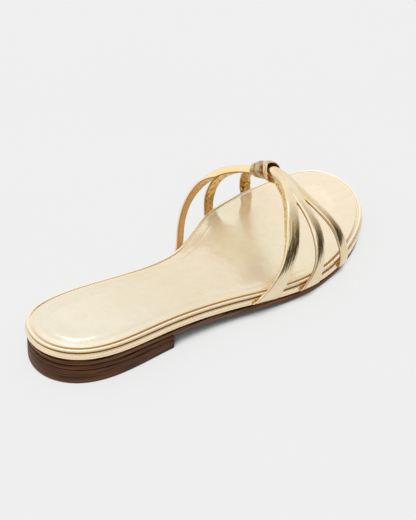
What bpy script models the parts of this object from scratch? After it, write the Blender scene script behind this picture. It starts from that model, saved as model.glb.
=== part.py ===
"""Flat slide sandal for the right foot.

Three strap bands rise from each side of a padded footbed, close up into one panel and
pass through a wrapped knot over the instep. Below the footbed come a wrapped board, a
thin outsole, and a low heel made of a lift and a block.

Drawn in shoe millimetres: x from the back of the heel to the toe, y towards the inner
(medial) side, z up from the floor. centre() moves the finished shoe over the origin.
"""
import bpy
import bmesh
import numpy as np

MM = 0.001

# ---- main sizes, mm ---------------------------------------------------------------
GAP = 0.3            # clearance between pieces that touch in the real shoe
BOARD_T = 3.5        # wrapped board, seen as the metallic rim
SOLE_T_BACK = 4.2    # outsole under the heel and the arch
SOLE_T_BALL = 4.7    # outsole under the ball
LIFT_T = 2.5         # thin layer between outsole and heel block
BREAST_X = 70.0      # front face of the heel
SPINE = (26.0, 222.0)  # middle line that the flat faces close on
STATIONS = 36        # points along each side of the full outline
HEEL_STATIONS = 14   # points along each side of the heel
BREAST_STEPS = 6

STRAP_IN = 0.75      # lining side of a band, from its middle surface
STRAP_EDGE = 0.70    # outer side at a folded edge
STRAP_FLAT = 1.00    # outer side just in from the edge
STRAP_CROWN = 1.20   # outer side at the middle of a band
TUCK = 8.0           # length of band folded in under the board
POCKET_H = 1.45      # recess in the board's underside for that end

# Sole outline seen from above, heel first, medial side to the toe, then back: x, y.
OUTLINE = (
    (0.0, 4.5), (12.5, 28.0), (42.5, 32.5), (87.5, 23.3), (124.5, 23.5), (166.5, 41.0),
    (215.5, 40.3), (246.0, 25.0), (249.2, 2.5), (235.0, -22.7), (203.5, -41.0),
    (158.0, -48.0), (110.0, -38.0), (65.0, -30.3), (26.5, -25.7), (7.0, -14.7),
)
# Height of the board's lower edge along the shoe: heel pitch, arch, toe spring: x, z.
RIM_LINE = ((0, 16.7), (55, 14.3), (110, 10.0), (175, 4.7), (215, 5.8), (250, 9.3))

# The last that the bands lie on, in cross-section from the rim (phi 0) to the crest (1).
CREST_X, CREST_Y, CREST_Z = 188.0, 11.8, 44.7   # crest point under the knot
CREST_DY, CREST_DZ = -0.33, -0.36               # its run per mm of x
LAST_RISE = 1.25                                # power of the rise from rim to crest
LEAN = {"medial": 0.22, "lateral": 0.0}         # extra fall of a side per mm of x,
LEAN_X = 179.0                                  # about this x; gone again in the knot
SWELL_FROM = 0.12                               # phi where the side swell has set in
LAST = {                                        # per side: sign, fullness, side swell
    "medial": (1.0, 1.25, 9.6),
    "lateral": (-1.0, 2.55, 6.3),
}

# Band edges on the last, x in mm: rear and front edge of bands 1 (rear) to 3 (front).
#          phi    r1     f1     r2     f2     r3     f3
MEDIAL = (
    (0.00, 124.5, 133.5, 168.5, 177.0, 201.2, 208.5),
    (0.08, 129.5, 137.4, 169.8, 177.8, 201.9, 209.2),
    (0.15, 134.8, 144.3, 171.8, 180.3, 202.6, 210.2),
    (0.22, 143.3, 154.7, 174.2, 182.9, 203.1, 210.8),
    (0.30, 154.0, 166.0, 176.4, 184.5, 202.3, 209.9),
    (0.38, 163.6, 174.4, 178.0, 186.0, 200.5, 207.9),
    (0.45, 169.9, 178.9, 179.9, 187.9, 198.4, 205.6),
    (0.52, 173.8, 182.0, 182.0, 190.3, 196.7, 203.1),
    (0.60, 177.0, 184.3, 184.3, 193.0, 195.5, 200.9),
    (0.66, 179.1, 185.8, 185.8, 194.0, 194.5, 199.5),
    (0.73, 181.0, 186.9, 186.9, 193.6, 193.6, 198.2),
    (0.82, 183.0, 187.6, 187.6, 192.0, 192.0, 196.4),
    (0.90, 184.0, 187.4, 187.4, 190.8, 190.8, 194.3),
    (1.00, 184.0, 187.1, 187.1, 190.3, 190.3, 193.4),
)
LATERAL = (
    (0.00, 119.3, 135.6, 151.3, 165.6, 186.2, 195.2),
    (0.08, 123.5, 137.4, 154.6, 166.2, 186.2, 194.4),
    (0.15, 127.8, 139.7, 157.7, 166.8, 185.5, 193.3),
    (0.22, 131.8, 142.4, 160.3, 167.9, 185.0, 192.4),
    (0.30, 137.0, 146.7, 163.2, 170.1, 184.8, 192.0),
    (0.38, 142.3, 151.9, 165.5, 173.0, 184.9, 192.2),
    (0.45, 146.6, 156.1, 167.4, 175.2, 184.9, 192.0),
    (0.52, 151.0, 160.6, 169.3, 177.1, 184.4, 191.2),
    (0.60, 157.0, 166.0, 171.5, 178.8, 183.5, 189.9),
    (0.67, 163.0, 171.2, 173.4, 180.2, 182.8, 188.9),
    (0.75, 169.4, 175.9, 175.9, 182.5, 182.5, 188.6),
    (0.82, 175.0, 179.6, 179.6, 184.6, 184.6, 189.4),
    (0.90, 180.2, 183.4, 183.4, 187.3, 187.3, 191.2),
    (1.00, 184.0, 187.1, 187.1, 190.3, 190.3, 193.4),
)
JOIN = {"medial": (0.50, 0.71), "lateral": (0.70, 0.72)}   # phi where each slit closes
ROWS = {
    "medial": (0.05, 0.09, 0.13, 0.18, 0.23, 0.29, 0.36, 0.43, 0.50, 0.57, 0.64, 0.71,
               0.77, 0.82, 0.86, 0.90, 0.94, 0.97),
    "lateral": (0.05, 0.09, 0.13, 0.18, 0.23, 0.29, 0.36, 0.43, 0.50, 0.57, 0.63, 0.67,
                0.70, 0.72, 0.77, 0.82, 0.87, 0.91, 0.95),
}
# Across a band: share of its width, outer height over the middle surface.
BAND_SECTION = ((0.0, STRAP_EDGE), (0.10, STRAP_FLAT), (0.5, STRAP_CROWN),
                (0.90, STRAP_FLAT), (1.0, STRAP_EDGE))
# Wrap of a band round the board's edge, from the tucked end up, out from the rim and up
# from its lower edge: inner out, inner up, outer out, outer up, share of the crown.
WRAP = (
    (-TUCK, 1.10, -TUCK, 0.05, 0.0),
    (-0.60, 1.10, -0.20, 0.00, 0.0),
    (0.15, 1.20, 1.05, 0.25, 0.2),
    (0.42, 1.75, 1.65, 1.20, 0.5),
)

# Knot, along the bundle from its medial end: along, half width, half height, rise of the
# middle, then the bore round the bundle from the lateral end back.
KNOT_OUT = (
    (6.1, 7.7, 3.7, 0.0), (5.7, 7.95, 4.0, 0.0), (4.9, 8.0, 4.2, 0.0),
    (3.8, 7.8, 4.0, 0.0), (3.0, 7.2, 3.5, 0.1), (2.6, 6.9, 3.2, 0.2),
    (2.2, 7.2, 4.0, 0.3), (1.4, 7.8, 4.8, 0.4), (0.2, 8.0, 5.1, 0.4),
    (-0.8, 7.7, 4.8, 0.4), (-1.4, 7.0, 4.2, 0.4), (-1.8, 7.3, 4.7, 0.5),
    (-2.6, 7.7, 5.3, 0.6), (-3.9, 8.0, 5.8, 0.8), (-5.0, 8.0, 5.9, 0.9),
    (-5.6, 7.8, 5.7, 1.0),
)
KNOT_BORE = (
    (-5.6, 7.0, 4.9, 1.0), (-4.8, 6.8, 4.6, 0.8), (-3.6, 6.7, 4.0, 0.6),
    (-2.2, 6.5, 3.45, 0.3), (-0.6, 6.25, 2.95, 0.1), (1.4, 6.35, 2.85, 0.1),
    (3.0, 6.5, 2.85, 0.1), (4.6, 7.05, 2.95, 0.1), (6.1, 7.35, 3.1, 0.1),
)
KNOT_Y = 13.4        # where the knot's middle sits across the shoe
CORE_RISE = 0.15     # middle of the bundle over the last
KNOT_SIDES = 28
KNOT_SQUARE = 2.3    # exponent of the outer oval
BORE_SQUARE = 4.0    # exponent of the bore, nearly a flat slot

# Section tables of the sole layers: inset from the outline, share of the way to the
# spine, height over the layer's own line. They run from the middle of the underside
# out to the edge and back over the top.
BOARD = ((0, 1, 0), (9, 0.4, 0), (9, 0, 0), (0.9, 0, 0), (0.25, 0, 0.25), (0, 0, 0.8),
         (0, 0, 2.8), (0.25, 0, 3.3), (0.9, 0, BOARD_T), (9, 0.4, BOARD_T),
         (0, 1, BOARD_T))
INSOLE = ((0, 1, 0), (7, 0.4, 0), (1.9, 0, 0), (1.2, 0, 0.3), (0.9, 0, 0.9), (1.2, 0, 1.45),
          (1.8, 0, 1.65), (2.4, 0, 1.4), (2.8, 0, 1.1), (3.6, 0, 1.6), (5.9, 0, 2.1),
          (9.9, 0, 2.35), (9.9, 0.5, 2.2), (0, 1, 1.8))
SOLE_UNDER = ((0, 1, 0), (8, 0.4, 0), (2.0, 0, 0), (1.3, 0, 0.5))
SOLE_OVER = ((0.9, 0, -0.45), (1.35, 0, 0), (8, 0.4, 0), (0, 1, 0))
LIFT_UNDER = ((0, 1, 0), (8, 0.4, 0), (1.6, 0, 0), (1.15, 0, 0.4))
LIFT_OVER = ((1.05, 0, -0.4), (1.5, 0, 0), (8, 0.4, 0), (0, 1, 0))
BLOCK_UNDER = ((0, 1, 0), (8, 0.4, 0), (2.2, 0, 0), (1.7, 0, 0.5))
BLOCK_OVER = ((1.15, 0, -0.4), (1.6, 0, 0), (8, 0.4, 0), (0, 1, 0))

# Colour (sRGB), roughness, metallic.
LOOKS = {
    "gold": ((0.90, 0.80, 0.61), 0.25, 0.9),
    "insole": ((0.94, 0.88, 0.76), 0.35, 0.7),
    "rim": ((0.88, 0.76, 0.55), 0.25, 0.9),
    "brown": ((0.32, 0.20, 0.14), 0.55, 0.0),
}


# ---- curves -----------------------------------------------------------------------
def natural_curve(xs, ys):
    """The natural cubic through the points, as a function that holds its end values."""
    xs, ys = np.asarray(xs, float), np.asarray(ys, float)
    count, step = len(xs), np.diff(xs)
    matrix, right = np.eye(count), np.zeros(count)
    for i in range(1, count - 1):
        matrix[i, i - 1:i + 2] = step[i - 1], 2 * (step[i - 1] + step[i]), step[i]
        right[i] = 6 * ((ys[i + 1] - ys[i]) / step[i] - (ys[i] - ys[i - 1]) / step[i - 1])
    bend = np.linalg.solve(matrix, right)

    def at(x):
        x = np.clip(np.asarray(x, float), xs[0], xs[-1])
        i = np.clip(np.searchsorted(xs, x) - 1, 0, count - 2)
        t = (x - xs[i]) / step[i]
        u = 1 - t
        return (u * ys[i] + t * ys[i + 1]
                + step[i] ** 2 / 6 * ((u ** 3 - u) * bend[i] + (t ** 3 - t) * bend[i + 1]))
    return at


def closed_outline(points, count=4000):
    """Dense points of the smooth closed curve through the outline's points."""
    ring = np.array(points * 3 + points[:1], float)
    chord = np.linalg.norm(np.diff(ring, axis=0), axis=1) ** 0.75
    s = np.concatenate([[0], np.cumsum(chord)])
    n = len(points)
    t = np.linspace(s[n], s[2 * n], count, endpoint=False)
    return np.stack([natural_curve(s, ring[:, k])(t) for k in (0, 1)], axis=1)


DENSE = closed_outline(OUTLINE)
HEEL_TIP, TOE_TIP = DENSE[:, 0].argmin(), DENSE[:, 0].argmax()
X_BACK, X_FRONT = DENSE[HEEL_TIP, 0], DENSE[TOE_TIP, 0]


def half_outline(medial):
    """One side of the outline, ordered from the heel tip to the toe tip."""
    turned = np.roll(DENSE, -HEEL_TIP, axis=0)
    toe = turned[:, 0].argmax()
    side = turned[:toe + 1] if medial else turned[toe:][::-1]
    return side if medial else np.vstack([turned[:1], side])


HALVES = {"medial": half_outline(True), "lateral": half_outline(False)}


def rim_y(x, side):
    half = HALVES[side]
    order = np.argsort(half[:, 0])
    return np.interp(x, half[order, 0], half[order, 1])


rim_z = natural_curve(*zip(*RIM_LINE))


def mid_y(x):
    return (rim_y(x, "medial") + rim_y(x, "lateral")) / 2


def sole_under(x):
    """Underside of the outsole: flat on the floor under the ball, rising to both ends."""
    thick = np.interp(x, (95, 150), (SOLE_T_BACK, SOLE_T_BALL))
    return np.maximum(0.0, rim_z(x) - GAP - thick)


# ---- sole layers ------------------------------------------------------------------
def add_object(name, verts, faces, look):
    """A closed mesh object, its faces turned outwards, from points in shoe mm."""
    mesh = bpy.data.meshes.new(name)
    mesh.from_pydata([tuple(float(c) * MM for c in v) for v in verts], [], faces)
    work = bmesh.new()
    work.from_mesh(mesh)
    bmesh.ops.recalc_face_normals(work, faces=work.faces)
    work.to_mesh(mesh)
    work.free()
    obj = bpy.data.objects.new(name, mesh)
    obj.data.materials.append(material(look))
    mesh.shade_smooth()
    mesh.set_sharp_from_angle(angle=np.radians(35))
    PARTS.objects.link(obj)
    return obj


def material(look):
    found = bpy.data.materials.get(look)
    if found:
        return found
    colour, rough, metal = LOOKS[look]
    made = bpy.data.materials.new(look)
    made.use_nodes = True
    shader = made.node_tree.nodes["Principled BSDF"]
    linear = [((c + 0.055) / 1.055) ** 2.4 for c in colour]
    shader.inputs["Base Color"].default_value = (*linear, 1)
    shader.inputs["Roughness"].default_value = rough
    shader.inputs["Metallic"].default_value = metal
    return made


def full_ring():
    """Outline points, inward normals and the spine point that each one closes on."""
    turn = np.linspace(0, np.pi, STATIONS + 1)
    x = X_BACK + (X_FRONT - X_BACK) * (1 - np.cos(turn)) / 2
    points = [(a, rim_y(a, "medial")) for a in x]
    points += [(a, rim_y(a, "lateral")) for a in x[-2:0:-1]]
    points = np.array(points)
    points[0] = DENSE[HEEL_TIP]
    points[STATIONS] = DENSE[TOE_TIP]
    centre_x = np.clip(points[:, 0], *SPINE)
    return points, inward(points), np.stack([centre_x, mid_y(centre_x)], axis=1)


def heel_ring():
    """The same for the heel: its rounded back, closed by a straight breast."""
    turn = np.linspace(0, np.pi / 2, HEEL_STATIONS + 1)
    x = X_BACK + (BREAST_X - X_BACK) * (1 - np.cos(turn))
    medial = [(a, rim_y(a, "medial")) for a in x]
    lateral = [(a, rim_y(a, "lateral")) for a in x[:0:-1]]
    medial[0] = tuple(DENSE[HEEL_TIP])
    y0, y1 = medial[-1][1], lateral[0][1]
    breast = [(BREAST_X, y0 + (y1 - y0) * k / BREAST_STEPS) for k in range(1, BREAST_STEPS)]
    points = np.array(medial + breast + lateral)
    normals = inward(points)
    first, last = len(medial) - 1, len(medial) + len(breast)
    normals[first + 1:last] = (-1, 0)
    normals[first], normals[last] = (-1, -1), (-1, 1)
    centre_x = np.clip(points[:, 0], SPINE[0], BREAST_X - SPINE[0] / 2)
    return points, normals, np.stack([centre_x, mid_y(centre_x)], axis=1)


def inward(points):
    along = np.roll(points, -1, axis=0) - np.roll(points, 1, axis=0)
    along /= np.linalg.norm(along, axis=1)[:, None]
    return np.stack([along[:, 1], -along[:, 0]], axis=1)


def layer(name, ring, sections, look):
    """A sole layer. sections is a list of (section table, height line) pairs."""
    points, normals, spine = ring
    rows = []
    for table, line in sections:
        for inset, share, lift in table:
            p = points + normals * inset
            p = p + (spine - p) * share
            rows.append(np.column_stack([p, line(p[:, 0]) + lift]))
    verts, index = [], {}

    def vertex(p):
        key = tuple(np.round(p, 5))
        if key not in index:
            index[key] = len(verts)
            verts.append(p)
        return index[key]

    ids = [[vertex(p) for p in row] for row in rows]
    count, faces = len(points), []
    for lower, upper in zip(ids, ids[1:]):
        for j in range(count):
            k = (j + 1) % count
            face = []
            for v in (lower[j], lower[k], upper[k], upper[j]):
                if v not in face:
                    face.append(v)
            if len(face) > 2:
                faces.append(face)
    return add_object(name, verts, faces, look)


# ---- straps -----------------------------------------------------------------------
def crest(x):
    run = np.clip(x - CREST_X, -45, 45)
    return CREST_Y + CREST_DY * run, CREST_Z + CREST_DZ * run


def on_last(x, phi, side):
    """A point of the bands' middle surface."""
    sign, full, swell = LAST[side]
    turn = phi * np.pi / 2
    top_y, top_z = crest(x)
    fade = min(max((phi - 0.80) / 0.20, 0.0), 1.0)
    top_z -= LEAN[side] * (1 - fade * fade * (3 - 2 * fade)) * (x - LEAN_X)
    base_y, base_z = rim_y(x, side) + sign * 1.25, rim_z(x) + 0.6
    bulge = swell * np.sin(2 * turn) * (1 - np.exp(-(phi / SWELL_FROM) ** 2))
    y = top_y + (base_y - top_y) * max(np.cos(turn), 0.0) ** (2 / full) + sign * bulge
    z = base_z + (top_z - base_z) * np.sin(turn) ** LAST_RISE
    return np.array([x, y, z])


def outward(x, phi, side):
    """Unit normal of the last, pointing away from the foot."""
    low, high = max(phi - 0.01, 0.0), min(phi + 0.01, 1.0)
    up = on_last(x, high, side) - on_last(x, low, side)
    fore = on_last(x + 0.5, phi, side) - on_last(x - 0.5, phi, side)
    n = np.cross(fore, up) * (1 if side == "lateral" else -1)
    n *= -1 if n[2] < 0 and phi > 0.5 else 1
    return n / np.linalg.norm(n)


def edge_curves(side):
    table = np.array(MEDIAL if side == "medial" else LATERAL)
    return [natural_curve(table[:, 0], table[:, k]) for k in range(1, 7)]


def band_edges(phi, side, curves):
    """x of the six edges at phi, and for each slit whether it has closed."""
    x = [float(c(phi)) for c in curves]
    shut = []
    for slit, join in enumerate(JOIN[side]):
        rear, front = 2 * slit + 1, 2 * slit + 2
        shut.append(phi >= join - 1e-6)
        if shut[-1]:
            x[rear] = x[front] = (x[rear] + x[front]) / 2
    return x, shut


def strap_rows(side):
    """Rows of (outer points, inner points, shut) from the tucked end to the crest."""
    sign = LAST[side][0]
    curves = edge_curves(side)
    rows = []
    for k, (in_out, in_up, out_out, out_up, crown) in enumerate(WRAP):
        x, shut = band_edges(0.01 * (k == 3), side, curves)
        outer, inner = [], []
        for band in range(3):
            rear, front = x[2 * band], x[2 * band + 1]
            for share, height in BAND_SECTION:
                a = rear + (front - rear) * share
                y, z = rim_y(a, side), rim_z(a)
                extra = (height - STRAP_FLAT) * crown
                outer.append((a, y + sign * (out_out + extra), z + out_up))
                inner.append((a, y + sign * in_out, z + in_up))
        rows.append((outer, inner, shut))
    for phi in ROWS[side]:
        x, shut = band_edges(phi, side, curves)
        outer, inner = [], []
        for band in range(3):
            rear, front = x[2 * band], x[2 * band + 1]
            for share, height in BAND_SECTION:
                a = rear + (front - rear) * share
                p, n = on_last(a, phi, side), outward(a, phi, side)
                outer.append(p + n * height)
                inner.append(p - n * STRAP_IN)
        rows.append((outer, inner, shut))
    return rows


def upper():
    """All six bands and the bundle under the knot, as one solid."""
    crest_x, _ = band_edges(1.0, "lateral", edge_curves("lateral"))
    outer, inner = [], []
    for band in range(3):
        rear, front = crest_x[2 * band], crest_x[2 * band + 1]
        for share, height in BAND_SECTION:
            a = rear + (front - rear) * share
            p, n = on_last(a, 1.0, "lateral"), outward(a, 0.99, "lateral")
            outer.append(p + n * height)
            inner.append(p - n * STRAP_IN)
    rows = strap_rows("lateral") + [(outer, inner, [True, True])]
    rows += strap_rows("medial")[::-1]

    verts, ids = [], []
    width = len(BAND_SECTION)
    for outer, inner, shut in rows:
        line = {}
        for face, points in (("out", outer), ("in", inner)):
            for band in range(3):
                for k in range(width):
                    if band and k == 0 and shut[band - 1]:
                        line[face, band, 0] = line[face, band - 1, width - 1]
                        continue
                    line[face, band, k] = len(verts)
                    verts.append(points[band * width + k])
        ids.append((line, shut))

    faces = []
    for (a, a_shut), (b, b_shut) in zip(ids, ids[1:]):
        for band in range(3):
            for k in range(width - 1):
                for face in ("out", "in"):
                    quad = [a[face, band, k], a[face, band, k + 1],
                            b[face, band, k + 1], b[face, band, k]]
                    faces.append(quad if face == "out" else quad[::-1])
            for k, slit in ((0, band - 1), (width - 1, band)):
                if 0 <= slit < 2 and a_shut[slit] and b_shut[slit]:
                    continue
                faces.append([a["out", band, k], a["in", band, k],
                              b["in", band, k], b["out", band, k]])
    for line, _ in (ids[0], ids[-1]):
        for band in range(3):
            faces.append([line["out", band, k] for k in range(width)]
                         + [line["in", band, k] for k in reversed(range(width))])
    return add_object("upper", verts, faces, "gold")


def bundle_path():
    """Middle line of the bundle through the knot, lateral to medial, and its width line."""
    steps = [("lateral", p) for p in np.linspace(0.85, 1.0, 60)]
    steps += [("medial", p) for p in np.linspace(1.0, 0.82, 60)[1:]]
    points, across = [], []
    for side, phi in steps:
        x, _ = band_edges(phi, side, edge_curves(side))
        rear, front = on_last(x[0], phi, side), on_last(x[5], phi, side)
        points.append((rear + front) / 2)
        across.append(front - rear)
    points = np.array(points)
    s = np.concatenate([[0], np.cumsum(np.linalg.norm(np.diff(points, axis=0), axis=1))])
    return s - np.interp(KNOT_Y, points[:, 1], s), points, np.array(across)


def knot():
    """The wrapped knot: two tight rolls and an open loop round the bundle."""
    s, path, widths = bundle_path()

    def between(table, at):
        return np.array([np.interp(at, s, table[:, k]) for k in range(3)])

    def section(along, wide, high, rise, power):
        run = between(path, along + 1.5) - between(path, along - 1.5)
        run /= np.linalg.norm(run)
        across = between(widths, along)
        across -= run * across.dot(run)
        across /= np.linalg.norm(across)
        up = np.cross(across, run)
        at = between(path, along) + up * (rise + CORE_RISE)
        turn = np.linspace(0, 2 * np.pi, KNOT_SIDES, endpoint=False)
        u = np.sign(np.cos(turn)) * abs(np.cos(turn)) ** (2 / power) * wide
        v = np.sign(np.sin(turn)) * abs(np.sin(turn)) ** (2 / power) * high
        return [at + across * a + up * b for a, b in zip(u, v)]

    rings = [section(*row, KNOT_SQUARE) for row in KNOT_OUT]
    rings += [section(*row, BORE_SQUARE) for row in KNOT_BORE]
    verts = [p for ring in rings for p in ring]
    faces = []
    for r in range(len(rings)):
        lower, higher = r * KNOT_SIDES, (r + 1) % len(rings) * KNOT_SIDES
        for j in range(KNOT_SIDES):
            k = (j + 1) % KNOT_SIDES
            faces.append((lower + j, lower + k, higher + k, higher + j))
    return add_object("knot", verts, faces, "gold")


def cut_pockets(board):
    """Recesses in the board's underside that take the tucked ends of the bands."""
    for side in ("medial", "lateral"):
        sign = LAST[side][0]
        x, _ = band_edges(0.0, side, edge_curves(side))
        for band in range(3):
            rear, front = x[2 * band] - GAP, x[2 * band + 1] + GAP
            verts, faces = [], []
            stops = np.linspace(rear, front, 7)
            for a in stops:
                y, z = rim_y(a, side), rim_z(a)
                for out, up in ((-TUCK - GAP, -1.0), (4.0, -1.0), (4.0, POCKET_H),
                                (-TUCK - GAP, POCKET_H)):
                    verts.append((a, y + sign * out, z + up))
            for k in range(len(stops) - 1):
                a, b = 4 * k, 4 * k + 4
                for j in range(4):
                    m = (j + 1) % 4
                    faces.append((a + j, a + m, b + m, b + j))
            end = 4 * (len(stops) - 1)
            faces += [(0, 1, 2, 3), (end + 3, end + 2, end + 1, end)]
            cutter = add_object(f"pocket_{side}_{band + 1}", verts, faces, "gold")
            PARTS.objects.unlink(cutter)
            CUTTERS.objects.link(cutter)
            cutter.hide_render = True
            cutter.display_type = "WIRE"
            cut = board.modifiers.new(cutter.name, "BOOLEAN")
            cut.operation, cut.solver, cut.object = "DIFFERENCE", "EXACT", cutter


def centre(objects):
    """Moves the shoe so that its box stands on the floor, centred over the origin."""
    spots = np.array([v.co for o in objects for v in o.data.vertices])
    low, high = spots.min(axis=0), spots.max(axis=0)
    shift = ((low[0] + high[0]) / 2, (low[1] + high[1]) / 2, low[2])
    for obj in PARTS.objects[:] + CUTTERS.objects[:]:
        obj.location = [-c for c in shift]


# ---- the shoe ---------------------------------------------------------------------
for old in list(bpy.data.objects):
    bpy.data.objects.remove(old)
PARTS = bpy.data.collections.new("slide_sandal")
CUTTERS = bpy.data.collections.new("cutters")
for collection in (PARTS, CUTTERS):
    bpy.context.scene.collection.children.link(collection)


def board_line(x):
    return rim_z(x)


def insole_line(x):
    return rim_z(x) + BOARD_T + GAP


def sole_top(x):
    return rim_z(x) - GAP


def lift_top(x):
    return sole_under(x) - GAP


def lift_under(x):
    return lift_top(x) - LIFT_T


def block_top(x):
    return lift_under(x) - GAP


def floor_line(x):
    return np.zeros_like(x)


WHOLE, HEEL = full_ring(), heel_ring()
layer("heel_block", HEEL, [(BLOCK_UNDER, floor_line), (BLOCK_OVER, block_top)], "brown")
layer("heel_lift", HEEL, [(LIFT_UNDER, lift_under), (LIFT_OVER, lift_top)], "brown")
layer("outsole", WHOLE, [(SOLE_UNDER, sole_under), (SOLE_OVER, sole_top)], "brown")
board = layer("midsole", WHOLE, [(BOARD, board_line)], "rim")
layer("insole", WHOLE, [(INSOLE, insole_line)], "insole")
upper()
knot()
cut_pockets(board)
centre(PARTS.objects[:])
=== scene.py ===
"""Looks of the slide sandal: foil leather straps and footbed, moulded sole, stage and camera.

Every shape is drawn in shoe millimetres, x from the back of the heel to the toe, y towards
the inner (medial) side, z up from the floor, and put_mesh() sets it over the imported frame.
"""

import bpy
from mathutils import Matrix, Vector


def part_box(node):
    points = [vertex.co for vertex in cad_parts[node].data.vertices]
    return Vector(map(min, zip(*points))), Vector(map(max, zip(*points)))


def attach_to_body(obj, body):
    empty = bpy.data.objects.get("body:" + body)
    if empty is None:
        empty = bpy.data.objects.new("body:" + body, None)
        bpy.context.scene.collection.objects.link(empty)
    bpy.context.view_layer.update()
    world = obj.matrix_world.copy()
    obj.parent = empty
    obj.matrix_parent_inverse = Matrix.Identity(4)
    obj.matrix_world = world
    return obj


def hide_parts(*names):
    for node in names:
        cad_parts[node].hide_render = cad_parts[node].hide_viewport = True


bl_info = {
    "name": "Foil slide sandal",
    "version": (1, 0, 0),
    "blender": (4, 5, 0),
    "location": "3D View > Sidebar > Sandal",
    "description": "Builds the straps, knot, footbed and sole of a slide sandal on its frame",
    "category": "Object",
}

import math
from functools import partial

import bpy
import numpy as np
from mathutils import Matrix, Vector

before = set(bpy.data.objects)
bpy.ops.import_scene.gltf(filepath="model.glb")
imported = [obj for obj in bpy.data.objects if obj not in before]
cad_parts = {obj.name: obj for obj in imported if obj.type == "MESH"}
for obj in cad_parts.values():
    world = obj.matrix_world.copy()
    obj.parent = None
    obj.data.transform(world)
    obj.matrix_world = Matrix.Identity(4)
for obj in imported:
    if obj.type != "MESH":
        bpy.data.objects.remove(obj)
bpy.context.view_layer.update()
MM = 0.001

# ---- the shoe's shape, mm, as the solids are built ----------------------------------
GAP = 0.3                       # clearance between pieces that touch in the real shoe
BOARD_T = 3.5                   # wrapped board, seen as the foil rim
SOLE_T_BACK, SOLE_T_BALL = 4.2, 4.7     # outsole behind and under the ball of the foot
SOLE_T_RUN = (95, 150)          # x between which it goes from one to the other
LIFT_T = 2.5                    # layer between the outsole and the heel block
BREAST_X = 70.0                 # front face of the heel
SPINE = (26.0, 222.0)           # middle line that the flat faces close on
HEEL_SPINE = (26.0, 57.0)
# Sole outline from above, heel first, medial side to the toe, then back: x, y.
OUTLINE = (
    (0.0, 4.5), (12.5, 28.0), (42.5, 32.5), (87.5, 23.3), (124.5, 23.5), (166.5, 41.0),
    (215.5, 40.3), (246.0, 25.0), (249.2, 2.5), (235.0, -22.7), (203.5, -41.0),
    (158.0, -48.0), (110.0, -38.0), (65.0, -30.3), (26.5, -25.7), (7.0, -14.7),
)
# Height of the board's lower edge: heel pitch, arch, toe spring: x, z.
RIM_LINE = ((0, 16.7), (55, 14.3), (110, 10.0), (175, 4.7), (215, 5.8), (250, 9.3))
# The last that the bands lie on, in cross-section from the rim (phi 0) to the crest (phi 1).
CREST_X, CREST_Y, CREST_Z = 188.0, 11.8, 44.7   # crest point under the knot
CREST_DY, CREST_DZ = -0.33, -0.36               # its run per mm of x
CREST_REACH = 45.0                              # and how far it runs on either way
LAST_OUT, LAST_UP = 1.25, 0.6   # where phi 0 lies, from the rim's lower edge
LAST_RISE = 1.25                # power of the rise from rim to crest
LEAN = {"medial": 0.22, "lateral": 0.0}         # extra fall of a side per mm of x,
LEAN_X = 179.0                                  # about this x,
LEAN_END = (0.80, 1.0)                          # gone again between these phi
SWELL_FROM = 0.12               # phi where the side swell has set in
LAST = {"medial": (1.0, 1.25, 9.6), "lateral": (-1.0, 2.55, 6.3)}   # sign, fullness, swell
# Band edges on the last: rear and front edge of bands 1 (rear) to 3 (front).
#    phi    r1     f1     r2     f2     r3     f3
EDGES = {
    "medial": (
        (0.00, 124.5, 133.5, 168.5, 177.0, 201.2, 208.5),
        (0.08, 129.5, 137.4, 169.8, 177.8, 201.9, 209.2),
        (0.15, 134.8, 144.3, 171.8, 180.3, 202.6, 210.2),
        (0.22, 143.3, 154.7, 174.2, 182.9, 203.1, 210.8),
        (0.30, 154.0, 166.0, 176.4, 184.5, 202.3, 209.9),
        (0.38, 163.6, 174.4, 178.0, 186.0, 200.5, 207.9),
        (0.45, 169.9, 178.9, 179.9, 187.9, 198.4, 205.6),
        (0.52, 173.8, 182.0, 182.0, 190.3, 196.7, 203.1),
        (0.60, 177.0, 184.3, 184.3, 193.0, 195.5, 200.9),
        (0.66, 179.1, 185.8, 185.8, 194.0, 194.5, 199.5),
        (0.73, 181.0, 186.9, 186.9, 193.6, 193.6, 198.2),
        (0.82, 183.0, 187.6, 187.6, 192.0, 192.0, 196.4),
        (0.90, 184.0, 187.4, 187.4, 190.8, 190.8, 194.3),
        (1.00, 184.0, 187.1, 187.1, 190.3, 190.3, 193.4),
    ),
    "lateral": (
        (0.00, 119.3, 135.6, 151.3, 165.6, 186.2, 195.2),
        (0.08, 123.5, 137.4, 154.6, 166.2, 186.2, 194.4),
        (0.15, 127.8, 139.7, 157.7, 166.8, 185.5, 193.3),
        (0.22, 131.8, 142.4, 160.3, 167.9, 185.0, 192.4),
        (0.30, 137.0, 146.7, 163.2, 170.1, 184.8, 192.0),
        (0.38, 142.3, 151.9, 165.5, 173.0, 184.9, 192.2),
        (0.45, 146.6, 156.1, 167.4, 175.2, 184.9, 192.0),
        (0.52, 151.0, 160.6, 169.3, 177.1, 184.4, 191.2),
        (0.60, 157.0, 166.0, 171.5, 178.8, 183.5, 189.9),
        (0.67, 163.0, 171.2, 173.4, 180.2, 182.8, 188.9),
        (0.75, 169.4, 175.9, 175.9, 182.5, 182.5, 188.6),
        (0.82, 175.0, 179.6, 179.6, 184.6, 184.6, 189.4),
        (0.90, 180.2, 183.4, 183.4, 187.3, 187.3, 191.2),
        (1.00, 184.0, 187.1, 187.1, 190.3, 190.3, 193.4),
    ),
}
JOIN = {"medial": (0.50, 0.71), "lateral": (0.70, 0.72)}    # phi where each slit closes up
JOIN_RUN = 0.10                 # and how much further up the crease there is complete

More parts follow.
